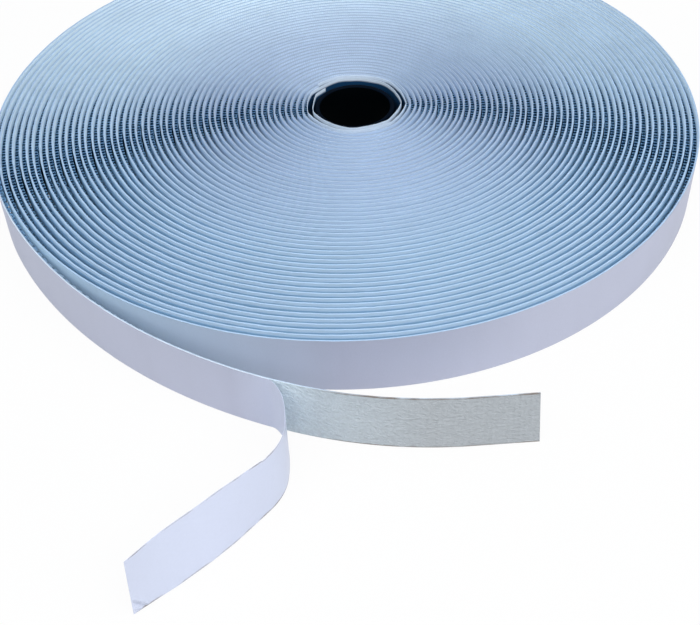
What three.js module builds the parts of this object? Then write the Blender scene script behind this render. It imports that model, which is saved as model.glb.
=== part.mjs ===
// Roll of self-adhesive hook tape, lying flat on its edge. The outer turn has lifted off the roll, and the
// release liner is peeled back from the last stretch, which leaves the sticky back of the tape's end bare.
// Millimetres, +Z up. The origin is at the middle of the base of the whole part, loose ends included.
// The tape winds anticlockwise seen from above, with its hooks towards the core and its liner on the outside.

import * as THREE from 'three';

// Tape and liner
const TAPE_WIDTH = 20;
const WEB_THICKNESS = 0.6;
const HOOK_HEIGHT = 1;
const HOOK_MARGIN = 1.3; // plain selvedge along each edge of the hooks
const ADHESIVE_THICKNESS = 0.15;
const LINER_THICKNESS = 0.15;
const LAYER_GAP = 0.1; // between layers that lie on each other
const COAT_INSET = 0.3; // how far the adhesive and the liner stop short of each edge of the tape

// Core and winding
const CORE_RADIUS = 14.4;
const CORE_WALL = 1.7;
const CORE_RECESS = 1.5; // depth of the core's upper end below the tape's edge
const CORE_FIT = 0.4; // between the core and the first turn
const CORE_OFFSET_X = 3.3; // the winding has settled, so its turns drift off the core's axis
const CORE_OFFSET_Y = -1.2;
const CORE_SIDES = 48;
const ROLL_RADIUS = 125.2; // outside the liner, where the outer turn leaves the roll
const TURN_GAP = 0.45; // between the outer turn and the turn that it lies on
const DRAWN_TURNS = 24; // the real tape goes round about 51 times, every turn as close as the outer one
const STEPS_PER_TURN = 23;

// Lifted turn: where it leaves the roll, and how far its curve opens
const LIFT_ANGLE = 207.7;
const LIFT_EASE = 44; // added to the roll's radius
const LIFT_LENGTH = 119.5;
const LIFT_GAP = 0.3; // at the line where it bends off the roll

// Bare end of the tape
const END_RADIUS = 132;
const END_CURVE_LENGTH = 56;
const END_FLAT_LENGTH = 18;
const END_GAP = 0.8; // at the line where the end bends on the lifted turn

// Peeled liner: a fold at the peel line, a wide bend to the right and a straight run
const PEEL_ANGLE = 27;
const FOLD_GAP = 0.3; // each side of the peel line
const FLAP_BEND_RADIUS = 20.5;
const FLAP_BEND_ANGLE = 87;
const FLAP_RUN = 44.5;
const FLAP_GAP = 0.6; // at the line where the flap bends again

// Length of one straight step along the loose ends
const LOOSE_STEP = 5;

const degrees = THREE.MathUtils.degToRad;

const tapeDepth = ADHESIVE_THICKNESS + LAYER_GAP + WEB_THICKNESS + HOOK_HEIGHT;
const linerInner = LAYER_GAP;
const linerOuter = LAYER_GAP + LINER_THICKNESS;
const linerMiddle = LAYER_GAP + LINER_THICKNESS / 2;

const finish = {
  core: new THREE.MeshStandardMaterial({ color: '#141518', roughness: 0.6, metalness: 0 }),
  tape: new THREE.MeshStandardMaterial({ color: '#b4c9e6', roughness: 0.85, metalness: 0 }),
  adhesive: new THREE.MeshStandardMaterial({ color: '#b6bfc4', roughness: 0.5, metalness: 0 }),
  liner: new THREE.MeshStandardMaterial({ color: '#d9e0f0', roughness: 0.6, metalness: 0 }),
};

// Stations: places along the tape's bond line in plan, where the liner meets the adhesive, each with its
// heading. A point's offset is its distance to the right of the heading, which is away from the core.

function placeBeside(station, along, offset) {
  const { x, y, heading } = station;
  return new THREE.Vector2(
    x + along * Math.cos(heading) + offset * Math.sin(heading),
    y + along * Math.sin(heading) - offset * Math.cos(heading),
  );
}

function stationBeside(station, along, offset, turn = 0) {
  const place = placeBeside(station, along, offset);
  return { x: place.x, y: place.y, heading: station.heading + turn };
}

// A curve to the left with a positive radius, to the right with a negative one, straight with an infinite one.
function follow(start, radius, length) {
  const steps = Math.ceil(length / LOOSE_STEP);
  const stations = [];
  for (let i = 0; i <= steps; i += 1) {
    const distance = (length * i) / steps;
    const turn = distance / radius;
    const chord = turn === 0 ? distance : 2 * radius * Math.sin(turn / 2);
    const direction = start.heading + turn / 2;
    stations.push({
      x: start.x + chord * Math.cos(direction),
      y: start.y + chord * Math.sin(direction),
      heading: start.heading + turn,
    });
  }
  return stations;
}

const lastOf = (list) => list[list.length - 1];

const joinRuns = (first, second) => [...first, ...second.slice(1)];

// Radius of the bond line after some turns: even turns up to the outer one, which lies close on the last.
function bondRadius(turns) {
  const innerRadius = CORE_RADIUS + CORE_FIT + tapeDepth;
  const outerRadius = ROLL_RADIUS - linerOuter;
  const outerPitch = tapeDepth + linerOuter + TURN_GAP;
  const evenTurns = DRAWN_TURNS - 1;
  if (turns < evenTurns) {
    return THREE.MathUtils.lerp(innerRadius, outerRadius - outerPitch, turns / evenTurns);
  }
  return outerRadius - outerPitch * (DRAWN_TURNS - turns);
}

function spiral() {
  const steps = DRAWN_TURNS * STEPS_PER_TURN;
  const stations = [];
  for (let i = 0; i <= steps; i += 1) {
    const share = i / steps;
    const angle = degrees(LIFT_ANGLE) + (i - steps) * ((2 * Math.PI) / STEPS_PER_TURN);
    const radius = bondRadius(i / STEPS_PER_TURN);
    stations.push({
      x: CORE_OFFSET_X * (1 - share) + radius * Math.cos(angle),
      y: CORE_OFFSET_Y * (1 - share) + radius * Math.sin(angle),
      heading: angle + Math.PI / 2,
    });
  }
  return stations;
}

// Least distance between the faces of neighbouring turns, measured on their points.
function leastSelfGap(stations, inner, outer) {
  const halfTurn = Math.floor(STEPS_PER_TURN / 2);
  const outside = stations.map((station) => placeBeside(station, 0, outer));
  const inside = stations.map((station) => placeBeside(station, 0, inner));
  let least = Infinity;
  outside.forEach((point, i) => {
    for (let j = i + halfTurn; j < inside.length; j += 1) {
      least = Math.min(least, point.distanceTo(inside[j]));
    }
  });
  return least;
}

// One closed solid: a section of (offset, height) corners, anticlockwise along the heading, at every station.
function sweep(stations, section) {
  const corners = section.length;
  const positions = [];
  stations.forEach((station) => {
    section.forEach(([offset, height]) => {
      const place = placeBeside(station, 0, offset);
      positions.push(place.x, place.y, height);
    });
  });
  const index = [];
  for (let i = 0; i < stations.length - 1; i += 1) {
    for (let k = 0; k < corners; k += 1) {
      const near = i * corners + k;
      const nearNext = i * corners + ((k + 1) % corners);
      index.push(near, nearNext + corners, nearNext);
      index.push(near, near + corners, nearNext + corners);
    }
  }
  const farEnd = (stations.length - 1) * corners;
  const outline = section.map(([offset, height]) => new THREE.Vector2(offset, height));
  THREE.ShapeUtils.triangulateShape(outline, []).forEach(([a, b, c]) => {
    index.push(a, b, c);
    index.push(farEnd + a, farEnd + c, farEnd + b);
  });
  const geometry = new THREE.BufferGeometry();
  geometry.setAttribute('position', new THREE.Float32BufferAttribute(positions, 3));
  geometry.setIndex(index);
  geometry.computeVertexNormals();
  return geometry;
}

function flatSection(inner, outer, inset) {
  const top = TAPE_WIDTH - inset;
  return [[inner, inset], [outer, inset], [outer, top], [inner, top]];
}

// The woven web at full width, with the narrower block of hooks on its inner face.
function hookedSection() {
  const back = -ADHESIVE_THICKNESS - LAYER_GAP;
  const ground = back - WEB_THICKNESS;
  const tips = -tapeDepth;
  const upperMargin = TAPE_WIDTH - HOOK_MARGIN;
  return [
    [ground, 0], [back, 0], [back, TAPE_WIDTH], [ground, TAPE_WIDTH],
    [ground, upperMargin], [tips, upperMargin], [tips, HOOK_MARGIN], [ground, HOOK_MARGIN],
  ];
}

const adhesiveSection = flatSection(-ADHESIVE_THICKNESS, 0, COAT_INSET);
const linerSection = flatSection(linerInner, linerOuter, COAT_INSET);

const part = new THREE.Group();

function addPiece(name, geometry, material) {
  const mesh = new THREE.Mesh(geometry, material);
  mesh.name = name;
  part.add(mesh);
  return mesh;
}

// Core: a plain tube that stands on the same surface as the tape's edge
const coreHeight = TAPE_WIDTH - CORE_RECESS;
const boreRadius = CORE_RADIUS - CORE_WALL;
const coreProfile = [
  [boreRadius, 0], [CORE_RADIUS, 0], [CORE_RADIUS, coreHeight], [boreRadius, coreHeight], [boreRadius, 0],
].map(([radius, height]) => new THREE.Vector2(radius, height));
const core = addPiece('core_tube', new THREE.LatheGeometry(coreProfile, CORE_SIDES), finish.core);
core.rotation.x = Math.PI / 2;
core.position.set(CORE_OFFSET_X, CORE_OFFSET_Y, 0);

// Winding: the tape with its adhesive coat, and the liner on the back of every turn
const winding = spiral();
addPiece('tape_winding', sweep(winding, flatSection(-tapeDepth, 0, 0)), finish.tape);
addPiece('liner_winding', sweep(winding, linerSection), finish.liner);

// Lifted turn: it leaves the roll on a tangent and opens into a wider curve
const liftLine = lastOf(winding);
const lifted = follow(stationBeside(liftLine, LIFT_GAP, 0), ROLL_RADIUS + LIFT_EASE, LIFT_LENGTH);
addPiece('lifted_tape', sweep(lifted, hookedSection()), finish.tape);
addPiece('lifted_adhesive', sweep(lifted, adhesiveSection), finish.adhesive);
addPiece('lifted_liner', sweep(lifted, linerSection), finish.liner);

// Bare end: it goes on past the peel line, still curving, and ends in a flat stretch
const peelLine = lastOf(lifted);
const endCurve = follow(stationBeside(peelLine, END_GAP, 0), END_RADIUS, END_CURVE_LENGTH);
const tapeEnd = joinRuns(endCurve, follow(lastOf(endCurve), Infinity, END_FLAT_LENGTH));
addPiece('end_tape', sweep(tapeEnd, hookedSection()), finish.tape);
addPiece('end_adhesive', sweep(tapeEnd, adhesiveSection), finish.adhesive);

// Peeled liner: it folds away from the bare end at the peel line, and curls to the right
const foldAxis = stationBeside(peelLine, FOLD_GAP, linerMiddle, -degrees(PEEL_ANGLE));
const flapStart = stationBeside(foldAxis, FOLD_GAP, 0);
const flapBend = follow(flapStart, -FLAP_BEND_RADIUS, FLAP_BEND_RADIUS * degrees(FLAP_BEND_ANGLE));
const flapSection = flatSection(-LINER_THICKNESS / 2, LINER_THICKNESS / 2, COAT_INSET);
addPiece('liner_flap', sweep(flapBend, flapSection), finish.liner);
const flapRun = follow(stationBeside(lastOf(flapBend), FLAP_GAP, 0), Infinity, FLAP_RUN);
addPiece('liner_flap_end', sweep(flapRun, flapSection), finish.liner);

// The whole part is set over the origin
const box = new THREE.Box3().setFromObject(part);
const middle = box.getCenter(new THREE.Vector3());
part.position.set(-middle.x, -middle.y, 0);

// What the source measures: the winding's own clearance, and the upright lines where the strips bend
const hingeLines = {
  turn_lift: placeBeside(liftLine, LIFT_GAP / 2, linerOuter),
  tape_end_bend: placeBeside(peelLine, END_GAP / 2, -tapeDepth / 2),
  liner_peel: placeBeside(foldAxis, 0, 0),
  flap_end_bend: placeBeside(lastOf(flapBend), FLAP_GAP / 2, 0),
};
const tapeGap = leastSelfGap(winding, -tapeDepth, 0);
const linerGap = leastSelfGap(winding, linerInner, linerOuter);
console.log('least gap between turns of tape, mm:', tapeGap.toFixed(3));
console.log('least gap between turns of liner, mm:', linerGap.toFixed(3));
Object.entries(hingeLines).forEach(([name, line]) => {
  console.log(name, 'at, mm:', (line.x - middle.x).toFixed(3), (line.y - middle.y).toFixed(3));
});

export default part;
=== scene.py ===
"""Roll of self-adhesive hook tape: the dressed model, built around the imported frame. Metres, +Z up."""

import math

import bpy
import numpy as np
from bpy.props import FloatProperty, FloatVectorProperty, IntProperty, PointerProperty
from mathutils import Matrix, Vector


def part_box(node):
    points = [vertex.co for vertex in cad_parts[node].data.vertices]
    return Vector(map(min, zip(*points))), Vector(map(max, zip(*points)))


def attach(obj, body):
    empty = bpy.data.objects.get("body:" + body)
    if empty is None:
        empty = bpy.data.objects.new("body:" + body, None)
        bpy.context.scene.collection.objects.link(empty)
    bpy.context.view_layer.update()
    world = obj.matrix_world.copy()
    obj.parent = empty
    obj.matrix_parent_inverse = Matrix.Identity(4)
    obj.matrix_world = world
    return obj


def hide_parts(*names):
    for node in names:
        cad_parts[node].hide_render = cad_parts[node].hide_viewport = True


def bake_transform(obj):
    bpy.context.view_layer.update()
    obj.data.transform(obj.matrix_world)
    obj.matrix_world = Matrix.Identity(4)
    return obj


bl_info = {
    "name": "Hook tape roll",
    "version": (1, 0, 0),
    "blender": (4, 5, 0),
    "location": "3D View > Sidebar > Tape roll",
    "description": "Builds a roll of self-adhesive hook tape with its lifted turn and peeled liner",
    "category": "Add Mesh",
}

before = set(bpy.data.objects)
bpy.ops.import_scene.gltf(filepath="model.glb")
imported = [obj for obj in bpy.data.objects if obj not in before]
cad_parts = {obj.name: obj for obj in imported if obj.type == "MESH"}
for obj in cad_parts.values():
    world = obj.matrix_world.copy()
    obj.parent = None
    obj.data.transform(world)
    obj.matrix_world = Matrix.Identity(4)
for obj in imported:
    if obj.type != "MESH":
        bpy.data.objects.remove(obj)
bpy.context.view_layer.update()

MM = 0.001

# Places that the frame gives
CORE_LOW, CORE_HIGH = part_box("core_tube")
WINDING_LOW, WINDING_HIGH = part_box("tape_winding")
CORE_AXIS = np.array([(CORE_LOW.x + CORE_HIGH.x) / 2, (CORE_LOW.y + CORE_HIGH.y) / 2])

# Route of the tape, as in the part's source: the winding drifts off the core's axis, the outer turn lifts
# off it, and past the peel line the tape's end and the liner go their own ways.
CORE_OFFSET = np.array([3.3, -1.2]) * MM
ROLL_MIDDLE = CORE_AXIS - CORE_OFFSET
LIFT_ANGLE = math.radians(207.7)
LIFT_RADIUS = 169.2 * MM
LIFT_LENGTH = 119.5 * MM
LIFT_GAP = 0.3 * MM
END_GAP = 0.8 * MM
END_RADIUS = 132 * MM
END_CURVE_LENGTH = 56 * MM
END_FLAT_LENGTH = 18 * MM
PEEL_ANGLE = math.radians(27)
FOLD_GAP = 0.3 * MM
FLAP_BEND_RADIUS = 20.5 * MM
FLAP_BEND_ANGLE = math.radians(87)
FLAP_GAP = 0.6 * MM
FLAP_RUN = 44.5 * MM
END_LEAN = 1.4 * MM  # how far the cut end leans back over its height

# Modelling values
FIRST_TURN_RADIUS = 18.65 * MM  # bond line of the tape's first turn
LINER_LEAD_TURNS = 2.0  # the liner starts this much before the tape
PITCH_GROWTH = 0.06  # how much wider than the mean the pitch is at the outside, and tighter at the core
WOUND_STEP = 2.6 * MM  # between stations of the winding
LOOSE_STEP = 1.0 * MM  # between stations of the loose ends
ON_ROLL = 52 * MM  # how much of the wound turn belongs to the lifted pieces
LIFT_SPLIT = 60 * MM  # along the lifted turn, where one piece ends and the next begins
FLAP_SPLIT = 17 * MM  # along the peeled liner, likewise
FOLD_RADIUS = 4 * MM
BOND_DEPTH = 0.25 * MM  # bond line below the outside of the outer turn
LAYER_CLEARANCE = 0.02 * MM
EDGE_BEVEL = 0.09 * MM
HOOK_MARGIN = 1.9 * MM  # plain selvedge above and below the rows of hooks
WOUND_HOOK_MARGIN = 2.6 * MM  # likewise between the turns, where the topmost hooks are pressed down
FIELD_DEPTH = 4.3 * MM  # below the upper edge, where single hooks give way to the solid field of hooks
FIELD_SHARE = 0.9  # height of the solid field, as a share of a hook's
FIRST_HOOK = 0.7 * MM  # after the start of the lifted piece
LAST_HOOK = 1.0 * MM  # before the cut end
FILAMENT_RADIUS = 0.1 * MM
FILM_INSET = 0.05 * MM  # adhesive film, from the edges of the tape
PAINTED_SHADE_DROP = 0.2 * MM  # painted shade on the hook side of the wound web begins this far below the topmost hooks
GLOSS_SPREAD = 0.08  # roughness of a finish, either side of its mean
SMOOTH_ANGLE = math.radians(50)  # edges sharper than this stay sharp
TIGHT_SHARES = (0.25, 0.65)  # of the turns, between which the painted light and shade of the tight inner turns gives way
WOUND_MAP_ROWS = 52  # rows of a strip's map for baking, by its length
LEAD_MAP_ROWS = 2
LOOSE_MAP_ROWS = 4
CORE_WALL = 1.7 * MM
CORE_BEVEL = 0.35 * MM
CORE_SIDES = 96

# Stage values; places are seen from the roll's middle
CAMERA_BACK = 352.6 * MM
CAMERA_HEIGHT = 245.6 * MM
CAMERA_TURN = (46.872, 1.645, -1.319)  # degrees
RIGHT_LAMP = (0.59, -0.58, 0.97)
LEFT_LAMP = (-0.48, -0.67, 0.97)
LAMP_SIZE = 1.0
FLOOR_REACH = 3.0
FLOOR_DROP = 0.2 * MM


# Sizes and colours that a user would change

class TapeRollSizes(bpy.types.PropertyGroup):
    """Sizes of the tape, its layers and its winding."""

    tape_width: FloatProperty(
        name="Tape width", description="Width of the woven tape, which is the height of the roll",
        default=WINDING_HIGH.z - WINDING_LOW.z, unit="LENGTH",
    )
    roll_radius: FloatProperty(
        name="Roll radius", description="Radius outside the liner where the outer turn leaves the roll",
        default=125.2 * MM, unit="LENGTH",
    )
    turns: FloatProperty(
        name="Turns", description="How many times the tape goes round the core", default=50.2,
    )
    web_thickness: FloatProperty(
        name="Web thickness", description="Thickness of the woven ground that carries the hooks",
        default=0.32 * MM, unit="LENGTH",
    )
    adhesive_thickness: FloatProperty(
        name="Adhesive thickness", description="Thickness of the sticky film on the tape's back",
        default=0.12 * MM, unit="LENGTH",
    )
    liner_thickness: FloatProperty(
        name="Liner thickness", description="Thickness of the release paper",
        default=0.11 * MM, unit="LENGTH",
    )
    hook_height: FloatProperty(
        name="Hook height", description="How far the hooks stand off the web",
        default=1.35 * MM, unit="LENGTH",
    )
    hook_spacing: FloatProperty(
        name="Hook spacing", description="Distance between hooks along the tape",
        default=1.7 * MM, unit="LENGTH",
    )
    hook_rows: IntProperty(
        name="Hook rows", description="Rows of hooks across the tape", default=17, min=2,
    )


class TapeRollColours(bpy.types.PropertyGroup):
    """Colours of the tape, its layers and the core."""

    web: FloatVectorProperty(
        name="Web", description="Woven ground of the tape", default=(0.40, 0.55, 0.73), subtype="COLOR",
    )
    # Painted shade: a darker copy of the web for the tops of the tight inner turns, which lowers their
    # contrast with the gaps.
    inner_web: FloatVectorProperty(
        name="Inner web", description="Woven ground of the tight inner turns",
        default=(0.335, 0.425, 0.555), subtype="COLOR",
    )
    # Painted light: the plain band below the web's edge is painted much paler than the web, standing for
    # light that reaches into the gaps.
    selvedge_painted_light: FloatVectorProperty(
        name="Selvedge", description="Plain band of the web between its edge and the hooks",
        default=(0.77, 0.91, 1.0), subtype="COLOR",
    )
    # Painted light, less of it, for the band on the tight inner turns.
    inner_selvedge_painted_light: FloatVectorProperty(
        name="Inner selvedge", description="Plain band of the web on the tight inner turns",
        default=(0.53, 0.65, 0.82), subtype="COLOR",
    )
    # Painted light: a paler copy of the web that throws more light into the shade behind the lifted turn.
    loose_web: FloatVectorProperty(
        name="Loose web", description="Woven ground of the lifted turn and the bare end",
        default=(0.52, 0.63, 0.76), subtype="COLOR",
    )
    # Painted light and shade: the wound hooks are a darker copy for their shade between the turns, the loose
    # hooks a paler copy.
    filament: FloatVectorProperty(
        name="Hooks", description="Hook filaments", default=(0.33, 0.62, 0.92), subtype="COLOR",
    )
    loose_filament: FloatVectorProperty(
        name="Loose hooks", description="Hook filaments of the lifted turn and the bare end",
        default=(0.55, 0.70, 0.88), subtype="COLOR",
    )
    # Painted shade: near-black blue for the deep field between the hooks, where only shade falls.
    ground: FloatVectorProperty(
        name="Painted hook shade", description="Deep field between the hooks",
        default=(0.006, 0.045, 0.12), subtype="COLOR",
    )
    liner: FloatVectorProperty(
        name="Liner", description="Outer face of the release paper",
        default=(0.485, 0.505, 0.62), subtype="COLOR",
    )
    # Partly painted light: paler than the liner round the hole, lightened against its shade there.
    lead: FloatVectorProperty(
        name="Liner lead", description="Start of the release paper, round the core",
        default=(0.74, 0.86, 1.0), subtype="COLOR",
    )
    # Painted light: a bluer copy of the liner for its face in the gaps.
    shaded_liner: FloatVectorProperty(
        name="Liner in the gaps", description="Outer face of the release paper between the turns",
        default=(0.545, 0.69, 0.845), subtype="COLOR",
    )
    # Painted light: a paler copy for the gaps of the tight inner turns.
    inner_liner: FloatVectorProperty(
        name="Liner in the inner gaps",
        description="Outer face of the release paper between the tight inner turns",
        default=(0.60, 0.745, 0.95), subtype="COLOR",
    )
    # Painted shade: a darker copy for the liner deeper in the gaps.
    gap: FloatVectorProperty(
        name="Gap", description="Release paper deeper down between the turns",
        default=(0.29, 0.485, 0.69), subtype="COLOR",
    )
    # Painted shade, less dark, deeper in the gaps of the tight inner turns.
    inner_gap: FloatVectorProperty(
        name="Inner gap", description="Release paper deeper down between the tight inner turns",
        default=(0.50, 0.63, 0.80), subtype="COLOR",
    )
    # Painted shade: a bluer copy of the liner for the roll's outer face in the shade of the lifted turn.
    lift_shade_liner: FloatVectorProperty(
        name="Liner behind the lifted turn",
        description="Outer face of the release paper where the outer turn lifts off",
        default=(0.66, 0.86, 1.0), subtype="COLOR",
    )
    release: FloatVectorProperty(
        name="Release face", description="Coated inner face of the release paper",
        default=(0.62, 0.66, 0.80), subtype="COLOR",
    )
    adhesive: FloatVectorProperty(
        name="Adhesive", description="Sticky film on the tape's back",
        default=(0.445, 0.475, 0.50), subtype="COLOR",
    )
    # Partly painted light: a paler tint next to the peel line, lightened where the flap shades the film.
    fresh_adhesive_and_painted_light: FloatVectorProperty(
        name="Fresh adhesive", description="Sticky film next to the peel line",
        default=(0.58, 0.67, 0.73), subtype="COLOR",
    )
    # Painted light: pale at the peel line, cancelling the fold's shadow.
    peel_line: FloatVectorProperty(
        name="Peel line", description="Sticky film where the liner leaves it",
        default=(0.74, 0.85, 0.90), subtype="COLOR",
    )
    # Painted shade: a dark brown line along cut edges, standing for their shade.
    edge_shade: FloatVectorProperty(
        name="Painted shade on edges", description="Dust that sticks to cut edges",
        default=(0.20, 0.17, 0.15), subtype="COLOR",
    )
    # Partly painted shade: the tube is dark, and painted near-black as the deep shade in the hole.
    core: FloatVectorProperty(
        name="Core", description="Tube that the tape is wound on",
        default=(0.0002, 0.0010, 0.0016), subtype="COLOR",
    )
    core_rim: FloatVectorProperty(
        name="Core rim", description="Upper rim of the tube", default=(0.0008, 0.004, 0.011), subtype="COLOR",
    )


class TapeRollStage(bpy.types.PropertyGroup):
    """Camera, lamps and floor."""

    lens: FloatProperty(
        name="Lens", description="Focal length on a 36 mm sensor", default=58.83, unit="CAMERA",
    )
    right_power: FloatProperty(
        name="Right lamp", description="Power of the soft lamp at the front right", default=9.5, unit="POWER",
    )
    left_power: FloatProperty(
        name="Left lamp", description="Power of the soft lamp at the front left", default=6.7, unit="POWER",
    )
    sky_strength: FloatProperty(
        name="Sky strength", description="Strength of the cool light from above", default=0.64,
    )
    sky: FloatVectorProperty(
        name="Sky", description="Colour of the light from above", default=(0.80, 0.90, 1.0), subtype="COLOR",
    )
    key: FloatVectorProperty(
        name="Lamp colour", description="Colour of the lamps at the front",
        default=(1.0, 0.97, 0.95), subtype="COLOR",
    )


# Routes: arrays of (x, y, heading) along the bond line in plan, where the liner meets the adhesive. A point's
# offset is its distance to the right of the heading, which is away from the core. Distances along the tape
# are measured from the lift-off line, so they are negative on the roll.

def place_beside(station, along, offset):
    """The station at a distance along and to the right of another, with the same heading."""
    x, y, heading = station
    return np.array([
        x + along * math.cos(heading) + offset * math.sin(heading),
        y + along * math.sin(heading) - offset * math.cos(heading),
        heading,
    ])


def curve_run(start, radius, length, step=LOOSE_STEP):
    """A curve to the left with a positive radius, to the right with a negative one."""
    count = max(2, math.ceil(length / step) + 1)
    distance = np.linspace(0, length, count)
    turn = distance / radius
    chord = distance * np.sinc(turn / 2 / np.pi)
    direction = start[2] + turn / 2
    return np.column_stack([
        start[0] + chord * np.cos(direction),
        start[1] + chord * np.sin(direction),
        start[2] + turn,
    ])


def join_runs(*runs):
    """One run from several that follow each other; a place that two share is kept once."""
    joined = [runs[0]]
    for run in runs[1:]:
        gap = np.hypot(*(run[0, :2] - joined[-1][-1, :2]))
        joined.append(run[1:] if gap < 1e-7 else run)
    return np.vstack(joined)


def distances(run):
    """Distance of every station from the first one."""
    steps = np.hypot(*np.diff(run[:, :2], axis=0).T)
    return np.concatenate([[0.0], np.cumsum(steps)])


def stations_at(run, along, places):
    """Stations of a run at the given distances."""
    return np.column_stack([np.interp(places, along, run[:, k]) for k in range(3)])


def cut_run(run, along, start, end):
    """The part of a run between two distances, with stations on both cuts."""
    inside = (along > start + 1e-6) & (along < end - 1e-6)
    places = np.concatenate([[start], along[inside], [end]])
    return stations_at(run, along, places), places


def smooth_radius(sizes, turns):
    """Radius of the smooth spiral's bond line after some turns."""
    outer = sizes.roll_radius - BOND_DEPTH
    share = turns / sizes.turns
    grown = share * (1 - PITCH_GROWTH + PITCH_GROWTH * share)
    return FIRST_TURN_RADIUS + (outer - FIRST_TURN_RADIUS) * grown


def wound_length(sizes, turns):
    """Distance along the smooth spiral from the lift-off line to some number of turns."""
    middle = (smooth_radius(sizes, turns) + smooth_radius(sizes, sizes.turns)) / 2
    return math.tau * middle * (turns - sizes.turns)


def wound_run(sizes, first, last, step=WOUND_STEP):
    """Evenly spaced stations on the winding between two numbers of turns, and their distances."""
    fine = np.linspace(first, last, math.ceil((last - first) * 400) + 2)
    reach = wound_length(sizes, fine)
    along = np.linspace(reach[0], reach[-1], math.ceil((reach[-1] - reach[0]) / step) + 1)
    turns = np.interp(along, reach, fine)
    angle = LIFT_ANGLE - math.tau * (sizes.turns - turns)
    radius = smooth_radius(sizes, turns) + settling(turns, angle, along, sizes.turns)
    drift = 1 - turns / sizes.turns
    x = ROLL_MIDDLE[0] + CORE_OFFSET[0] * drift + radius * np.cos(angle)
    y = ROLL_MIDDLE[1] + CORE_OFFSET[1] * drift + radius * np.sin(angle)
    return np.column_stack([x, y, angle + math.pi / 2]), along


def settling(turns, angle, along, last):
    """How far the winding lies off the smooth spiral: by slack, by ripples, and by kinks round the core."""
    fade = np.clip((last - 0.35 - turns) / 2.0, 0, 1)
    slack = 0.07 * np.sin(0.371 * angle + 1.1) + 0.06 * np.sin(1.618 * angle + 0.4)
    slack = slack + 0.05 * np.sin(4.236 * angle + 2.0)
    ripple = 0.04 * np.sin(along / (1.31 * MM) + 0.8 * np.sin(along / (9 * MM)))
    ripple = ripple + 0.03 * np.sin(along / (0.83 * MM) + 2.0 * np.sin(along / (23 * MM)))
    corners = np.abs(np.sin(3.5 * (angle + 0.12 * np.sin(2 * angle + 1.0))))
    near = np.clip(1 - (turns + LINER_LEAD_TURNS) / 9, 0, 1) ** 1.5
    return ((slack + ripple) * fade + 0.65 * (1 - corners) * near) * MM


def edge_dip(along):
    """How far the upper edge of the tape lies below its full height."""
    long_waves = np.sin(along / (19 * MM)) + np.sin(along / (5.7 * MM) + 1.0)
    short_wave = 0.7 * np.sin(along / (1.7 * MM) + 0.3)
    return (0.12 + 0.03 * (long_waves + short_wave)) * MM


def tail_run(sizes):
    """The last stretch of the tape: on the roll, lifted, and the bare end. Also the peel line's station."""
    turn_length = math.tau * sizes.roll_radius
    wound, _ = wound_run(sizes, sizes.turns - 1.5 * ON_ROLL / turn_length, sizes.turns, LOOSE_STEP)
    lifted = curve_run(place_beside(wound[-1], LIFT_GAP, 0), LIFT_RADIUS, LIFT_LENGTH)
    curve = curve_run(place_beside(lifted[-1], END_GAP, 0), END_RADIUS, END_CURVE_LENGTH)
    flat = curve_run(curve[-1], math.inf, END_FLAT_LENGTH)
    run = join_runs(wound, lifted, curve, flat)
    return run, distances(run) - distances(wound)[-1], lifted[-1]


def flap_run(sizes, peel_line):
    """The peeled liner's middle, from the fold at the peel line to its end, and where the fold starts."""
    middle = LAYER_CLEARANCE + sizes.liner_thickness / 2
    setback = FOLD_RADIUS * math.tan(PEEL_ANGLE / 2)
    early = (setback - FOLD_GAP) / FLAP_BEND_RADIUS
    start = place_beside(peel_line, FOLD_GAP - setback, middle)
    fold = curve_run(start, -FOLD_RADIUS, FOLD_RADIUS * (PEEL_ANGLE + early), 0.3 * MM)
    bend = curve_run(fold[-1], -FLAP_BEND_RADIUS, FLAP_BEND_RADIUS * (FLAP_BEND_ANGLE - early))
    straight = curve_run(bend[-1], math.inf, FLAP_GAP + FLAP_RUN, 0.5 * MM)
    return join_runs(fold, bend, straight), FOLD_GAP - setback


# Meshes

def strip_ring(inner, outer, heights, bevel=0.0):
    """Corners (offset, height) of a strip's section: up its outer side and down its inner side."""
    high = heights[-1]
    heights = np.array(heights)
    heights[-1] -= bevel
    right = [(outer, z) for z in heights]
    left = [(inner, z) for z in heights[::-1]]
    top = [(outer - bevel, high), (inner + bevel, high)] if bevel else []
    return np.array(right + top + left)


def strip_points(run, ring, along, shape):
    """Every ring corner at every station. The shape may move offsets and heights, and shift corners along."""
    offset = np.broadcast_to(ring[:, 0], (len(run), len(ring))).copy()
    height = np.broadcast_to(ring[:, 1], (len(run), len(ring))).copy()
    shift = 0.0
    if shape:
        offset, height, shift = shape(along[:, None], offset, height)
    sine, cosine = np.sin(run[:, 2])[:, None], np.cos(run[:, 2])[:, None]
    x = run[:, 0][:, None] + offset * sine + shift * cosine
    y = run[:, 1][:, None] - offset * cosine + shift * sine
    return np.stack([x, y, height], axis=2)


def strip_faces(stations, corners):
    """Quads round the ring between stations, then the two ends."""
    near = np.arange(stations - 1)[:, None] * corners + np.arange(corners)[None, :]
    after = np.arange(stations - 1)[:, None] * corners + np.roll(np.arange(corners), -1)[None, :]
    sides = np.stack([near, near + corners, after + corners, after], axis=2).reshape(-1, 4)
    k = np.arange(corners // 2 - 1)
    front = np.stack([k, k + 1, corners - 2 - k, corners - 1 - k], axis=1)
    back = front[:, ::-1] + (stations - 1) * corners
    return np.vstack([sides, front, back])


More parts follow.
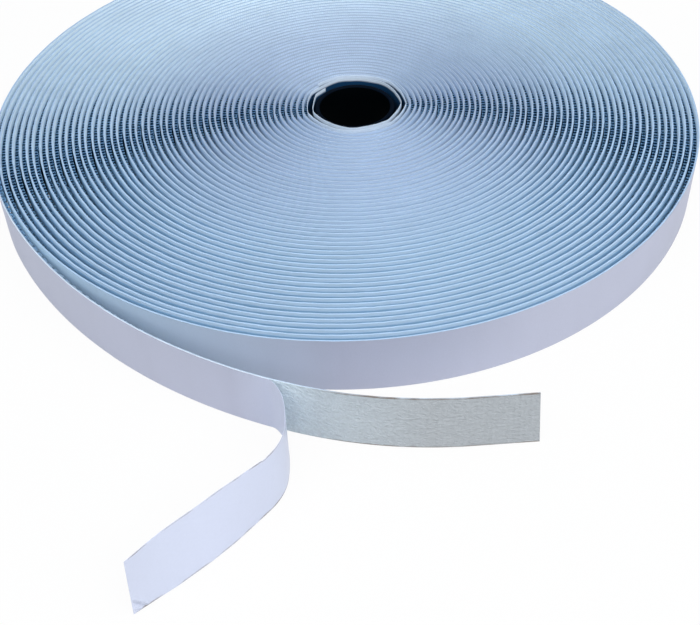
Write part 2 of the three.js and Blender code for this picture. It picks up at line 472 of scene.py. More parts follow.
def mesh_piece(name, points, faces, smooth_angle=None):
    """A mesh object from arrays of points and faces, linked to the scene."""
    mesh = bpy.data.meshes.new(name)
    mesh.from_pydata(points.reshape(-1, 3).tolist(), [], faces.tolist())
    if smooth_angle is not None:
        mesh.shade_smooth()
        mesh.set_sharp_from_angle(angle=smooth_angle)
    piece = bpy.data.objects.new(name, mesh)
    bpy.context.scene.collection.objects.link(piece)
    return piece


def set_uv(mesh, name, corner_uv):
    """A UV map from one (u, v) for every face corner."""
    layer = mesh.uv_layers.new(name=name)
    layer.data.foreach_set("uv", np.ascontiguousarray(corner_uv, dtype=np.float32).ravel())


def strip_piece(name, run, along, ring, shape, map_rows):
    """A closed strip swept along a run, with a map in metres and a map in rows to bake on."""
    stations, corners = len(run), len(ring)
    points = strip_points(run, ring, along, shape)
    piece = mesh_piece(name, points, strip_faces(stations, corners), SMOOTH_ANGLE)
    length = np.repeat(along[:, None], corners, axis=1)
    width = np.repeat(ring[None, :, 1] + ring[None, :, 0], stations, axis=0)
    real = np.stack([length, width], axis=2).reshape(-1, 2)
    index = np.empty(len(piece.data.loops), dtype=np.int64)
    piece.data.loops.foreach_get("vertex_index", index)
    set_uv(piece.data, "Strip", real[index])
    set_uv(piece.data, "OFBake", row_map(stations, corners, map_rows))
    return piece


def row_map(stations, corners, rows):
    """Face corners of a long strip laid out in rows that fill a square. Its ends lie in the last corner."""
    margin = 0.04
    per_row = math.ceil((stations - 1) / rows)
    i = np.repeat(np.arange(stations - 1), corners)
    k = np.tile(np.arange(corners), stations - 1)
    row, column = np.divmod(i, per_row)
    u = np.stack([column, column + 1, column + 1, column], axis=1) / per_row
    v = np.stack([k, k, k + 1, k + 1], axis=1) / corners
    v = (row[:, None] + margin + (1 - 2 * margin) * v) / rows
    sides = np.stack([u, v], axis=2).reshape(-1, 2)
    ends = np.full((2 * (corners // 2 - 1) * 4, 2), 0.999)
    return np.vstack([sides, ends])


def side_slots(piece, stations, corners, first):
    """Material slot 1 on the ring's sides from a corner on, up to the lower side, and slot 0 on the rest."""
    ring_slots = np.zeros(corners, dtype=np.int32)
    ring_slots[first:corners - 1] = 1
    ends = np.zeros(2 * (corners // 2 - 1), dtype=np.int32)
    slots = np.concatenate([np.tile(ring_slots, stations - 1), ends])
    piece.data.polygons.foreach_set("material_index", slots)


def hook_rings(height, coarse):
    """A hook as rings of (inward, along, tangent angle, radius): a stem, and a crook that bends back down."""
    if coarse:
        return [
            (0.0, 0.0, 0.0, 1.3 * FILAMENT_RADIUS),
            (0.75 * height, 0.02 * MM, 0.6, FILAMENT_RADIUS),
            (0.92 * height, 0.25 * MM, 1.6, FILAMENT_RADIUS),
            (0.72 * height, 0.46 * MM, 2.6, 0.9 * FILAMENT_RADIUS),
        ]
    crook = 0.3 * MM
    stem = height - crook - FILAMENT_RADIUS
    rings = [(-0.05 * MM, 0.0, 0.0, 1.3 * FILAMENT_RADIUS), (stem, 0.0, 0.0, FILAMENT_RADIUS)]
    for angle in (0.9, 1.8, 2.7, 3.5):
        rings.append((stem + crook * math.sin(angle), crook * (1 - math.cos(angle)), angle, FILAMENT_RADIUS))
    return rings


def hook_piece(name, run, along, root_offset, row_levels, height, coarse):
    """Hooks in rows at every station, inwards off the web. Their crooks alternate along the tape."""
    rings, sides = hook_rings(height, coarse), 4
    count = len(run) * len(row_levels)
    station = np.repeat(np.arange(len(run)), len(row_levels))
    row = np.tile(np.arange(len(row_levels)), len(run))
    way = np.where((station + row) % 2 == 0, 1.0, -1.0)
    # Small differences from hook to hook, from fixed waves
    lean = 0.12 * MM * np.sin(station * 2.399 + row * 1.7)
    reach = 1 + 0.06 * np.sin(station * 1.71 + row * 2.3)
    level = np.asarray(row_levels)[row] + 0.12 * MM * np.sin(station * 3.3 + row * 0.9)
    sine, cosine = np.sin(run[station, 2]), np.cos(run[station, 2])
    x, y = run[station, 0] + root_offset * sine, run[station, 1] - root_offset * cosine
    base = np.stack([x, y, level], axis=1)
    inward = np.stack([-sine, cosine, np.zeros(count)], axis=1)
    ahead = np.stack([cosine, sine, np.zeros(count)], axis=1)
    up = np.array([0.0, 0.0, 1.0])
    corner = (np.arange(sides) + 0.5) * math.tau / sides
    points = np.empty((count, len(rings), sides, 3))
    for r, (into, forth, angle, radius) in enumerate(rings):
        shift = way * forth + lean * into / height
        centre = base + inward * (into * reach)[:, None] + ahead * shift[:, None]
        across = -math.sin(angle) * inward + math.cos(angle) * ahead * way[:, None]
        for c in range(sides):
            points[:, r, c] = centre + radius * (math.cos(corner[c]) * across + math.sin(corner[c]) * up)
    faces = hook_faces(count, len(rings), sides, way)
    piece = mesh_piece(name, points, faces, math.radians(100))
    per_hook = len(faces) // count
    place = np.stack([np.asarray(along)[station], level], axis=1)
    set_uv(piece.data, "Strip", np.repeat(place, per_hook * 4, axis=0))
    set_uv(piece.data, "OFBake", cell_map(count, per_hook))
    return piece


def cell_map(count, per_hook):
    """Face corners of many hooks, each in its own cell of a square."""
    cells = math.ceil(math.sqrt(count))
    spot = np.arange(count)
    cell = np.stack([spot % cells, spot // cells], axis=1)
    local = np.tile(np.array([(0.1, 0.1), (0.9, 0.1), (0.9, 0.9), (0.1, 0.9)]), (per_hook, 1))
    return ((cell[:, None, :] + local[None, :, :]) / cells).reshape(-1, 2)


def hook_faces(count, rings, sides, way):
    """Quads round each four-sided hook and one on its tip, turned so that all of them face outwards."""
    quads = []
    for r in range(rings - 1):
        for c in range(sides):
            after = (c + 1) % sides
            quads.append((r * sides + c, r * sides + after, (r + 1) * sides + after, (r + 1) * sides + c))
    tip = (rings - 1) * sides
    quads.append((tip, tip + 1, tip + 2, tip + 3))
    faces = np.arange(count)[:, None, None] * rings * sides + np.array(quads)[None, :, :]
    turned = way > 0
    faces[turned] = faces[turned][:, :, ::-1]
    return faces.reshape(-1, 4)


# Materials

def new_group(name, inputs, outputs):
    """An empty shader node group with float inputs and outputs."""
    group = bpy.data.node_groups.new(name, "ShaderNodeTree")
    for socket, default in inputs:
        made = group.interface.new_socket(socket, in_out="INPUT", socket_type="NodeSocketFloat")
        made.default_value = default
    for socket in outputs:
        group.interface.new_socket(socket, in_out="OUTPUT", socket_type="NodeSocketFloat")
    return group, group.nodes.new("NodeGroupInput"), group.nodes.new("NodeGroupOutput")


def add_node(tree, kind, inputs=None, **settings):
    """A node with its settings and inputs. An input is a value, or the output socket that it is linked to."""
    node = tree.nodes.new(kind)
    for key, value in settings.items():
        setattr(node, key, value)
    for key, value in (inputs or {}).items():
        if isinstance(value, bpy.types.NodeSocket):
            tree.links.new(value, node.inputs[key])
        else:
            node.inputs[key].default_value = value
    return node


def math_node(tree, operation, first, second=0.0):
    """The result of one sum."""
    return add_node(tree, "ShaderNodeMath", {0: first, 1: second}, operation=operation).outputs[0]


def ramp(tree, value, start, end, low=0.0, high=1.0):
    """A value that goes from low to high while another goes from start to end."""
    inputs = {"Value": value, "From Min": start, "From Max": end, "To Min": low, "To Max": high}
    return add_node(tree, "ShaderNodeMapRange", inputs).outputs[0]


def wave(tree, distance, spacing):
    """A wave along a distance, from -1 to 1."""
    turns = math_node(tree, "DIVIDE", distance, spacing)
    return math_node(tree, "SINE", math_node(tree, "MULTIPLY", turns, math.tau))


def noise_at(tree, place, scale=1.0, detail=2.0, roughness=0.5):
    """Noise at a place, from 0 to 1."""
    inputs = {"Vector": place, "Scale": scale, "Detail": detail, "Roughness": roughness}
    return add_node(tree, "ShaderNodeTexNoise", inputs).outputs["Fac"]


def noise_place(tree, x, y=0.0, z=0.0):
    """A place in the noise."""
    return add_node(tree, "ShaderNodeCombineXYZ", {"X": x, "Y": y, "Z": z}).outputs[0]


def strip_place(tree):
    """Distances along and across a strip, from its map in metres."""
    strip = add_node(tree, "ShaderNodeUVMap", uv_map="Strip").outputs["UV"]
    parts = add_node(tree, "ShaderNodeSeparateXYZ", {"Vector": strip})
    return parts.outputs["X"], parts.outputs["Y"]


def mottle_group():
    """Soft cloudy variation at one size and a fine grain at another, each from 0 to 1."""
    inputs = [("Cloud size", 0.02), ("Grain size", 0.001)]
    group, given, result = new_group("Mottle", inputs, ["Cloud", "Grain"])
    place = add_node(group, "ShaderNodeTexCoord").outputs["Object"]
    for socket, output, detail in (("Cloud size", "Cloud", 3.0), ("Grain size", "Grain", 2.0)):
        scale = math_node(group, "DIVIDE", 1.0, given.outputs[socket])
        group.links.new(noise_at(group, place, scale, detail, 0.55), result.inputs[output])
    return group


def weave_group():
    """Ribs across the tape and yarns along it, as a height from 0 to 1."""
    group, given, result = new_group("Weave", [("Rib spacing", 0.0007), ("Yarn spacing", 0.0005)], ["Height"])
    along, across = strip_place(group)
    ribs = ramp(group, wave(group, along, given.outputs["Rib spacing"]), -1.0, 1.0)
    yarns = ramp(group, wave(group, across, given.outputs["Yarn spacing"]), -1.0, 1.0)
    group.links.new(math_node(group, "MULTIPLY", ribs, yarns), result.inputs["Height"])
    return group


def crepe_group():
    """Short crossing wrinkles that give way to ribs across the strip, as a height of about 0 to 1."""
    inputs = [("Wrinkle size", 0.001), ("Rib spacing", 0.0015), ("Start", 0.0), ("End", 1.0)]
    group, given, result = new_group("Crepe", inputs, ["Height"])
    along, across = strip_place(group)
    size = given.outputs["Wrinkle size"]
    heights = []
    for lean, stretch in ((0.6, 1.5), (-0.5, 1.7)):
        leaned = math_node(group, "ADD", along, math_node(group, "MULTIPLY", across, lean))
        u = math_node(group, "DIVIDE", math_node(group, "DIVIDE", leaned, size), stretch)
        v = math_node(group, "DIVIDE", across, size)
        heights.append(noise_at(group, noise_place(group, u, v, lean)))
    ribs = math_node(group, "MULTIPLY", wave(group, along, given.outputs["Rib spacing"]), 0.04)
    far = ramp(group, along, given.outputs["Start"], given.outputs["End"])
    near = math_node(group, "SUBTRACT", 1.0, math_node(group, "MULTIPLY", far, 0.2))
    wrinkles = math_node(group, "MULTIPLY", math_node(group, "MAXIMUM", *heights), near)
    height = math_node(group, "ADD", wrinkles, math_node(group, "MULTIPLY", ribs, far))
    group.links.new(height, result.inputs["Height"])
    return group


def streaks_group():
    """Uneven bands across a strip, from 0 to 1."""
    group, given, result = new_group("Streaks", [("Spacing", 0.012)], ["Value"])
    along, across = strip_place(group)
    u = math_node(group, "DIVIDE", along, given.outputs["Spacing"])
    v = math_node(group, "MULTIPLY", math_node(group, "DIVIDE", across, given.outputs["Spacing"]), 0.15)
    group.links.new(noise_at(group, noise_place(group, u, v)), result.inputs["Value"])
    return group


def edge_shade_group():
    """Painted shade along the upper and lower edge of a strip past some place, broken up along it."""
    inputs = [("Width", 0.02), ("Reach", 0.0003), ("Start", 0.0), ("Threshold", 0.4)]
    group, given, result = new_group("Painted edge shade", inputs, ["Mask"])
    along, across = strip_place(group)
    reach = given.outputs["Reach"]
    other = math_node(group, "SUBTRACT", given.outputs["Width"], across)
    nearest = math_node(group, "MINIMUM", across, other)
    edge = ramp(group, nearest, reach, math_node(group, "MULTIPLY", reach, 0.6))
    noise = noise_at(group, noise_place(group, along), 90.0, 3.0)
    broken = ramp(group, math_node(group, "SUBTRACT", noise, given.outputs["Threshold"]), 0.0, 0.2)
    past = ramp(group, math_node(group, "SUBTRACT", along, given.outputs["Start"]), 0.0, 0.01)
    mask = math_node(group, "MULTIPLY", edge, broken)
    group.links.new(math_node(group, "MULTIPLY", mask, past), result.inputs["Mask"])
    return group


GROUP_MAKERS = {
    "Mottle": mottle_group, "Weave": weave_group, "Crepe": crepe_group, "Streaks": streaks_group,
    "Painted edge shade": edge_shade_group,
}


def group_node(tree, name, **values):
    """A node of a shared group, which is made the first time, with its values."""
    made = bpy.data.node_groups.get(name) or GROUP_MAKERS[name]()
    node = add_node(tree, "ShaderNodeGroup", node_tree=made)
    for key, value in values.items():
        node.inputs[key.replace("_", " ").capitalize()].default_value = value
    return node


def mix_colour(tree, share, first, second, blend="MIX"):
    """A mix of two colours, each given as a value or a socket."""
    node = add_node(tree, "ShaderNodeMix", {"Factor": share}, data_type="RGBA", blend_type=blend)
    for key, colour in (("A", first), ("B", second)):
        if isinstance(colour, bpy.types.NodeSocket):
            tree.links.new(colour, node.inputs[key])
        else:
            node.inputs[key].default_value = (*colour, 1)
    return node.outputs["Result"]


def colour_along(tree, colour, before):
    """A colour, with others in its stead before some places along the strip, as (colour, from, to)."""
    for other, start, end in reversed(before):
        along, _ = strip_place(tree)
        colour = mix_colour(tree, ramp(tree, along, start, end), other, colour)
    return colour


def colour_by_place(tree, colour, before, deep):
    """A colour with others before some places along the strip, and another set of them below some height."""
    colour = colour_along(tree, colour, before)
    if not deep:
        return colour
    below, others, low, high = deep
    _, across = strip_place(tree)
    return mix_colour(tree, ramp(tree, across, low, high), colour_along(tree, below, others), colour)


def relief_height(tree, mottle, weave, crepe):
    """The height of a relief: a weave as (ribs, yarns), a crepe as (wrinkles, from, to), or the grain."""
    if weave:
        ribs, yarns = weave
        return group_node(tree, "Weave", rib_spacing=ribs, yarn_spacing=yarns).outputs["Height"]
    if crepe:
        wrinkles, start, end = crepe
        return group_node(tree, "Crepe", wrinkle_size=wrinkles, start=start, end=end).outputs["Height"]
    return mottle.outputs["Grain"]


def patches(tree, mottle, streaks):
    """Where a surface has its full colour, from 0 to 1: by cloud, by grain and by streaks so far apart."""
    share = math_node(tree, "ADD", mottle.outputs["Cloud"], mottle.outputs["Grain"])
    if streaks:
        share = math_node(tree, "ADD", share, group_node(tree, "Streaks", spacing=streaks).outputs["Value"])
        share = math_node(tree, "SUBTRACT", share, 0.5)
    return ramp(tree, share, 0.6, 1.4)


def finish_material(
        name, colour, roughness, cloud, grain, tint, bump,
        weave=None, crepe=None, streaks=None, edge_shade=None, before=(), deep=None, shine=0.5):
    """A surface whose colour and gloss vary with cloud and grain, and whose relief is grain, weave or crepe;
    a crepe's low parts are painted darker as shade.

    It may have streaks, painted shade along its edges as (colour, width, reach, start, threshold), other
    colours before some places along it, and another below some height, as (colour, others before some places,
    from, to).
    """
    material = bpy.data.materials.get(name)
    if material:
        return material
    material = bpy.data.materials.new(name)
    material.use_nodes = True
    tree = material.node_tree
    shader = tree.nodes["Principled BSDF"]
    mottle = group_node(tree, "Mottle", cloud_size=cloud, grain_size=grain)
    height = relief_height(tree, mottle, weave, crepe)
    # On a crepe, painted shade: the low parts of the wrinkles take the darker colour.
    share = ramp(tree, height, 0.4, 0.7) if crepe else patches(tree, mottle, streaks)
    base = colour_by_place(tree, colour, before, deep)
    darker = mix_colour(tree, 1.0, base, (tint, tint, tint), "MULTIPLY")
    base = mix_colour(tree, share, darker, base)
    # Painted shade along the edges
    if edge_shade:
        edge_shade_colour, width, reach, start, threshold = edge_shade
        mask = group_node(tree, "Painted edge shade", width=width, reach=reach, start=start, threshold=threshold)
        base = mix_colour(tree, mask.outputs["Mask"], base, edge_shade_colour)
    tree.links.new(base, shader.inputs["Base Color"])
    shader.inputs["Specular IOR Level"].default_value = shine
    rough = ramp(tree, mottle.outputs["Cloud"], 0.0, 1.0, roughness - GLOSS_SPREAD, roughness + GLOSS_SPREAD)
    tree.links.new(rough, shader.inputs["Roughness"])
    relief = add_node(tree, "ShaderNodeBump", {"Height": height, "Strength": 1.0, "Distance": bump})
    tree.links.new(relief.outputs["Normal"], shader.inputs["Normal"])
    return material


# Surfaces that two finishes share
WEB_SURFACE = dict(
    roughness=0.8, cloud=12 * MM, grain=0.6 * MM, tint=0.86, bump=0.1 * MM, weave=(0.9 * MM, 0.5 * MM),
)
PAPER_SURFACE = dict(
    roughness=0.55, cloud=30 * MM, grain=0.5 * MM, tint=0.94, bump=0.02 * MM, streaks=12 * MM,
)


def web_material(colours, width, tight):
    """The wound web: its upper edge, darker on the tight inner turns as painted shade, and below the edge a
    plain band painted pale as light in the gaps, less pale on the inner turns.
    """
    # Painted light: the band below the upper edge is paler than the web.
    band = (colours.selvedge_painted_light, [(colours.inner_selvedge_painted_light, *tight)], width - 0.8 * MM, width - 0.4 * MM)
    inner = (colours.inner_web, *tight)
    return finish_material("Woven web", colours.web, **WEB_SURFACE, before=[inner], deep=band)


def loose_web_material(colours, width):
    """The web of the lifted turn and the bare end, painted paler than the wound web as light, with painted
    shade along its cut edges.
    """
    edge_shade = (colours.edge_shade, width, 0.9 * MM, LIFT_LENGTH + 12 * MM, 0.4)
    return finish_material("Loose web", colours.loose_web, **WEB_SURFACE, edge_shade=edge_shade)


def filament_material(colours):
    """The hooks: a darker copy as painted shade between the turns and at the start of the lifted turn, and a
    paler copy as painted light further along.
    """
    wound = (colours.filament, 0.0, 45 * MM)
    return finish_material(
        "Hook filament", colours.loose_filament,
        roughness=0.4, cloud=10 * MM, grain=1.0 * MM, tint=0.8, bump=0.01 * MM, before=[wound], shine=0.2,
    )


def painted_shade_material(colours):
    """The deep field between the hooks, painted near-black as shade."""
    return finish_material(
        "Painted hook shade", colours.ground,
        roughness=0.8, cloud=10 * MM, grain=0.8 * MM, tint=0.7, bump=0.05 * MM, shine=0.1,
    )


def wound_liner_material(colours, width, tight, shade_end):
    """The outer side of the wound liner, painted bluer between the turns as the light there and darker
    further down as shade.
    """
    covered = (shade_end - 60 * MM, shade_end)
    # Painted shade behind the lifted turn, giving way to the plain liner further along.
    opening = (shade_end + 20 * MM, shade_end + 130 * MM)
    before = [(colours.inner_liner, *tight), (colours.shaded_liner, *covered), (colours.lift_shade_liner, *opening)]
    # Painted shade: darker further down in the gaps.
    below = [(colours.inner_gap, *tight), (colours.gap, *covered), (colours.lift_shade_liner, *opening)]
    deep = (colours.liner, below, width - 1.2 * MM, width - 0.7 * MM)
    return finish_material("Wound liner face", colours.liner, **PAPER_SURFACE, before=before, deep=deep)


def liner_edge_material(colours, tight):
    """The upper edge and the inner side of the wound liner, in the web's colour, darker on the tight inner
    turns as painted shade.
    """
    inner = (colours.inner_web, *tight)
    return finish_material(
        "Wound liner edge", colours.web,
        roughness=0.6, cloud=12 * MM, grain=0.6 * MM, tint=0.92, bump=0.02 * MM, before=[inner],
    )


def lead_materials(colours, width):
    """The outer side of the liner's first turns, and their inner side: paler than the liner, partly as
    painted light, and dark further down as painted shade in the hole.
    """
    depths = {"Liner lead": (2.2 * MM, 1.0 * MM), "Liner lead inside": (1.6 * MM, 0.9 * MM)}
    return [
        finish_material(
            name, colours.lead,
            roughness=0.5, cloud=6 * MM, grain=0.8 * MM, tint=0.92, bump=0.06 * MM, shine=0.2,
            # Painted shade: the walls darken further down into the hole.
            deep=(colours.ground, [], width - low, width - high),
        )
        for name, (low, high) in depths.items()
    ]


def liner_material(colours):
    """The outer face of the loose liner, which is paler past the peel line."""
    taped = (colours.liner, LIFT_LENGTH - 12 * MM, LIFT_LENGTH + 4 * MM)
    return finish_material("Liner face", colours.release, **PAPER_SURFACE, before=[taped])


def release_material(colours, width):
    """The coated inner face of the liner, with painted shade along the cut edges of the peeled part."""
    edge_shade = (colours.edge_shade, width, 0.5 * MM, LIFT_LENGTH, 0.42)
    return finish_material(
        "Release face", colours.release,
        roughness=0.38, cloud=30 * MM, grain=0.8 * MM, tint=0.96, bump=0.02 * MM, streaks=20 * MM, edge_shade=edge_shade,
    )


def adhesive_material(colours, width):
    """The sticky film: painted light at the peel line, a paler tint next to it that is partly painted light
    against the flap's shadow, creped towards its end, and painted shade along its cut edges.
    """
    before = [
        # Painted light at and next to the peel line.
        (colours.peel_line, LIFT_LENGTH + 3 * MM, LIFT_LENGTH + 14 * MM),
        (colours.fresh_adhesive_and_painted_light, LIFT_LENGTH, LIFT_LENGTH + 45 * MM),
    ]
    crepe = (0.8 * MM, LIFT_LENGTH + 20 * MM, LIFT_LENGTH + 75 * MM)
    edge_shade = (colours.edge_shade, width, 0.5 * MM, LIFT_LENGTH + 12 * MM, 0.35)
    return finish_material(
        "Adhesive film", colours.adhesive,
        roughness=0.45, cloud=8 * MM, grain=0.6 * MM, tint=0.87, bump=0.8 * MM,
        crepe=crepe, edge_shade=edge_shade, before=before,
    )


def core_material(colours):
    """The dark tube, painted near-black as the deep shade in the hole."""
    return finish_material(
        "Core tube", colours.core,
        roughness=0.7, cloud=6 * MM, grain=0.4 * MM, tint=0.6, bump=0.04 * MM, shine=0.01,
    )


def core_rim_material(colours):
    """The tube's upper rim, painted near-black to merge into the shade of the hole."""
    return finish_material(
        "Core rim", colours.core_rim,
        roughness=0.6, cloud=4 * MM, grain=0.4 * MM, tint=0.5, bump=0.04 * MM, shine=0.03,
    )


# Shapes of the strips

def edge_shape(width):
    """The upper edge waves a little below its full height."""
    def shape(along, offset, height):
        return offset, height * (1 - edge_dip(along) / width), 0.0
    return shape


def end_shape(width, last):
    """The upper edge, and a cut at the end that leans back towards the top."""
    edge = edge_shape(width)

    def shape(along, offset, height):
        offset, height, _ = edge(along, offset, height)
        near_end = np.clip(1 - (last - along) / (12 * MM), 0, 1)
        return offset, height, END_LEAN * (0.5 - height / width) * near_end
    return shape


def flap_shape(width, length):
    """The peeled liner by distance from the fold: tipped back, with a crumpled corner and a nick."""
    def shape(along, offset, height):
        across = height / width - 0.5
        tip = np.interp(along / MM, [20, 46, 64, length / MM], [0, 2.7, 2.7, 0.9]) * MM * across
        buckle = 0.25 * MM * np.sin(along / (9 * MM) + 1.3 * across) * np.clip(along / (30 * MM), 0, 1)
        buckle = buckle + 0.9 * MM * np.exp(-((along - 15 * MM) / (8 * MM)) ** 2)
        buckle = buckle + 0.85 * MM * np.clip(1 - (length - along) / (24 * MM), 0, 1)
        inside = 5.5 * MM - (length - along) - 0.75 * height
        crumple = np.interp(inside / MM, [0, 0.8, 1.8, 3.0, 4.4], [0, 0.55, -0.45, 0.35, 0]) * MM
        crumple = crumple * np.clip((length - along) / MM, 0, 1) * np.clip(height / MM, 0, 1)
        nick = 0.6 * MM * np.exp(-((along - 32 * MM) / (0.6 * MM)) ** 2) * np.clip(across * 6 - 2, 0, 1)
        back = (1.03 + 1.46 * across) * MM * np.clip(1 - (length - along) / (10 * MM), 0, 1)
        return offset + tip + buckle - crumple, height - nick, -back
    return shape


# Operators: one for each piece or group of like pieces

def choices(context):
    """The sizes and colours that are set."""
    return context.scene.tape_roll_sizes, context.scene.tape_roll_colours


def finish_piece(piece, materials, node=None):
    """Gives a piece its materials, and hides the CAD node that it stands for."""
    for material in materials:
        piece.data.materials.append(material)
    if node:
        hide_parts(node)


def last_wound_turn(sizes):
    """Turns at which the lifted pieces take over from the winding."""
    fine = np.linspace(sizes.turns - 0.5, sizes.turns, 500)
    return float(np.interp(-ON_ROLL, wound_length(sizes, fine), fine))


def bend_at_lift(piece):
    """Bakes the piece's placement into its mesh."""
    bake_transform(piece)


class TAPEROLL_OT_core(bpy.types.Operator):
    """Adds the dark tube that the tape is wound on"""

    bl_idname = "taperoll.core"
    bl_label = "Core tube"

    def execute(self, context):
        _, colours = choices(context)
        outer = (CORE_HIGH.x - CORE_LOW.x) / 2
        bore = outer - CORE_WALL
        top, soft = CORE_HIGH.z, CORE_BEVEL
        profile = [
            (bore + soft, 0), (outer - soft, 0), (outer, soft), (outer, top - soft), (outer - soft, top),
            (bore + soft, top), (bore, top - soft), (bore, top * 0.66), (bore, top * 0.33), (bore, soft),
        ]
        rim_sides = (3, 4, 5)
        angle = np.arange(CORE_SIDES) * math.tau / CORE_SIDES
        count = len(profile)
        points = np.empty((CORE_SIDES, count, 3))
        for k, (radius, height) in enumerate(profile):
            points[:, k, 0] = CORE_AXIS[0] + radius * np.cos(angle)
            points[:, k, 1] = CORE_AXIS[1] + radius * np.sin(angle)
            points[:, k, 2] = height
        i, k = np.meshgrid(np.arange(CORE_SIDES), np.arange(count), indexing="ij")
        after, above = (i + 1) % CORE_SIDES, (k + 1) % count
        faces = np.stack([i * count + k, after * count + k, after * count + above, i * count + above], axis=2)
        piece = mesh_piece("core_tube_wall", points, faces.reshape(-1, 4), SMOOTH_ANGLE)
        finish_piece(piece, [core_material(colours), core_rim_material(colours)], "core_tube")
        rim = np.isin(k.ravel(), rim_sides).astype(np.int32)
        piece.data.polygons.foreach_set("material_index", rim)
        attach(piece, "roll")
        return {"FINISHED"}


class TAPEROLL_OT_winding(bpy.types.Operator):
    """Adds the wound tape and the liner on the back of every turn"""

    bl_idname = "taperoll.winding"
    bl_label = "Winding"

    def execute(self, context):
        sizes, colours = choices(context)
        width, last = sizes.tape_width, last_wound_turn(sizes)
        depth = sizes.web_thickness + sizes.adhesive_thickness
        run, along = wound_run(sizes, 0, last)
        ring = strip_ring(-depth, 0, [0.0, width - WOUND_HOOK_MARGIN - PAINTED_SHADE_DROP, width], EDGE_BEVEL)
        web = strip_piece("wound_web", run, along, ring, edge_shape(width), WOUND_MAP_ROWS)
        tight = [wound_length(sizes, share * sizes.turns) for share in TIGHT_SHARES]
        finishes = [web_material(colours, width, tight), painted_shade_material(colours)]
        finish_piece(web, finishes, "tape_winding")
        # The web's hook side below the topmost hooks takes the painted shade.
        side_slots(web, len(run), len(ring), len(ring) - 2)
        ring = strip_ring(LAYER_CLEARANCE, LAYER_CLEARANCE + sizes.liner_thickness, [0.0, width])
        liner = strip_piece("wound_liner", run, along, ring, edge_shape(width), WOUND_MAP_ROWS)
        shade_end = wound_length(sizes, sizes.turns - 1.0)
        face = wound_liner_material(colours, width, tight, shade_end)
        finish_piece(liner, [face, liner_edge_material(colours, tight)], "liner_winding")
        side_slots(liner, len(run), len(ring), 1)
        run, along = wound_run(sizes, -LINER_LEAD_TURNS, 0, LOOSE_STEP)
        ring = strip_ring(LAYER_CLEARANCE, LAYER_CLEARANCE + sizes.liner_thickness, np.linspace(0, width, 9))
        lead = strip_piece("wound_liner_lead", run, along, ring, edge_shape(width), LEAD_MAP_ROWS)
        finish_piece(lead, lead_materials(colours, width))
        side_slots(lead, len(run), len(ring), len(ring) // 2)
        for piece in (web, liner, lead):
            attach(piece, "roll")
        return {"FINISHED"}


class TAPEROLL_OT_wound_hooks(bpy.types.Operator):
    """Adds the rows of hooks that show in the gaps between the turns"""

    bl_idname = "taperoll.wound_hooks"
    bl_label = "Hooks between the turns"

    def execute(self, context):
        sizes, colours = choices(context)
        run, along = wound_run(sizes, 0, last_wound_turn(sizes))
        root = -sizes.adhesive_thickness - sizes.web_thickness
        row_step = (sizes.tape_width - 2 * HOOK_MARGIN) / (sizes.hook_rows - 1)
        spots = np.arange(along[0], along[-1], sizes.hook_spacing)
        for row, name in enumerate(("upper", "lower")):
            level = sizes.tape_width - WOUND_HOOK_MARGIN - row * row_step
            for half, places in zip(("inner", "outer"), np.array_split(spots, 2)):
                part = stations_at(run, along, places)
                full_name = f"wound_hooks_{half}_{name}"
                piece = hook_piece(full_name, part, places, root, [level], sizes.hook_height, True)
                finish_piece(piece, [filament_material(colours)])
                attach(piece, "roll")
        # A solid sheet in the painted shade colour stands for the hooks deep in the gaps.
        ring = strip_ring(root - FIELD_SHARE * sizes.hook_height, root, [0.0, sizes.tape_width - FIELD_DEPTH])
        field = strip_piece("wound_hook_field", run, along, ring, None, WOUND_MAP_ROWS)
        finish_piece(field, [painted_shade_material(colours)])
        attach(field, "roll")
        return {"FINISHED"}


class TAPEROLL_OT_tail(bpy.types.Operator):
    """Adds the lifted turn and the bare end: web, adhesive film and hooks"""

    bl_idname = "taperoll.tail"
    bl_label = "Lifted turn and bare end"

    def execute(self, context):
        sizes, colours = choices(context)
        width = sizes.tape_width
        run, along, peel_line = tail_run(sizes)
        back, ground = -sizes.adhesive_thickness, -sizes.adhesive_thickness - sizes.web_thickness
        web_ring = strip_ring(ground, back, np.linspace(0, width, 7), EDGE_BEVEL)
        film_ring = strip_ring(back, 0, np.linspace(FILM_INSET, width - FILM_INSET, 11))
        stretches = (("lifted", -ON_ROLL, LIFT_SPLIT), ("end", LIFT_SPLIT, along[-1]))
        shape = end_shape(width, along[-1])
        levels = np.linspace(HOOK_MARGIN, width - HOOK_MARGIN, sizes.hook_rows)
        spots = np.arange(-ON_ROLL + FIRST_HOOK, along[-1] - LAST_HOOK, sizes.hook_spacing)
        for name, start, end in stretches:
            part, places = cut_run(run, along, start, end)
            web = strip_piece(f"{name}_web", part, places, web_ring, shape, LOOSE_MAP_ROWS)
            finish_piece(web, [loose_web_material(colours, width)], f"{name}_tape")
            film = strip_piece(f"{name}_film", part, places, film_ring, shape, LOOSE_MAP_ROWS)
            finish_piece(film, [adhesive_material(colours, width)], f"{name}_adhesive")
            here = spots[(spots > start) & (spots < end)]
            part = stations_at(run, along, here)
            hooks = hook_piece(f"{name}_hooks", part, here, ground, levels, sizes.hook_height, False)
            finish_piece(hooks, [filament_material(colours)])
            for piece in (web, film, hooks):
                if name == "lifted":
                    bend_at_lift(piece)
                else:
                    self.bend_at_peel(piece, peel_line)
        return {"FINISHED"}

    def bend_at_peel(self, piece, peel_line):
        """Bakes the placement of a piece of the bare end into its mesh."""
        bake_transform(piece)


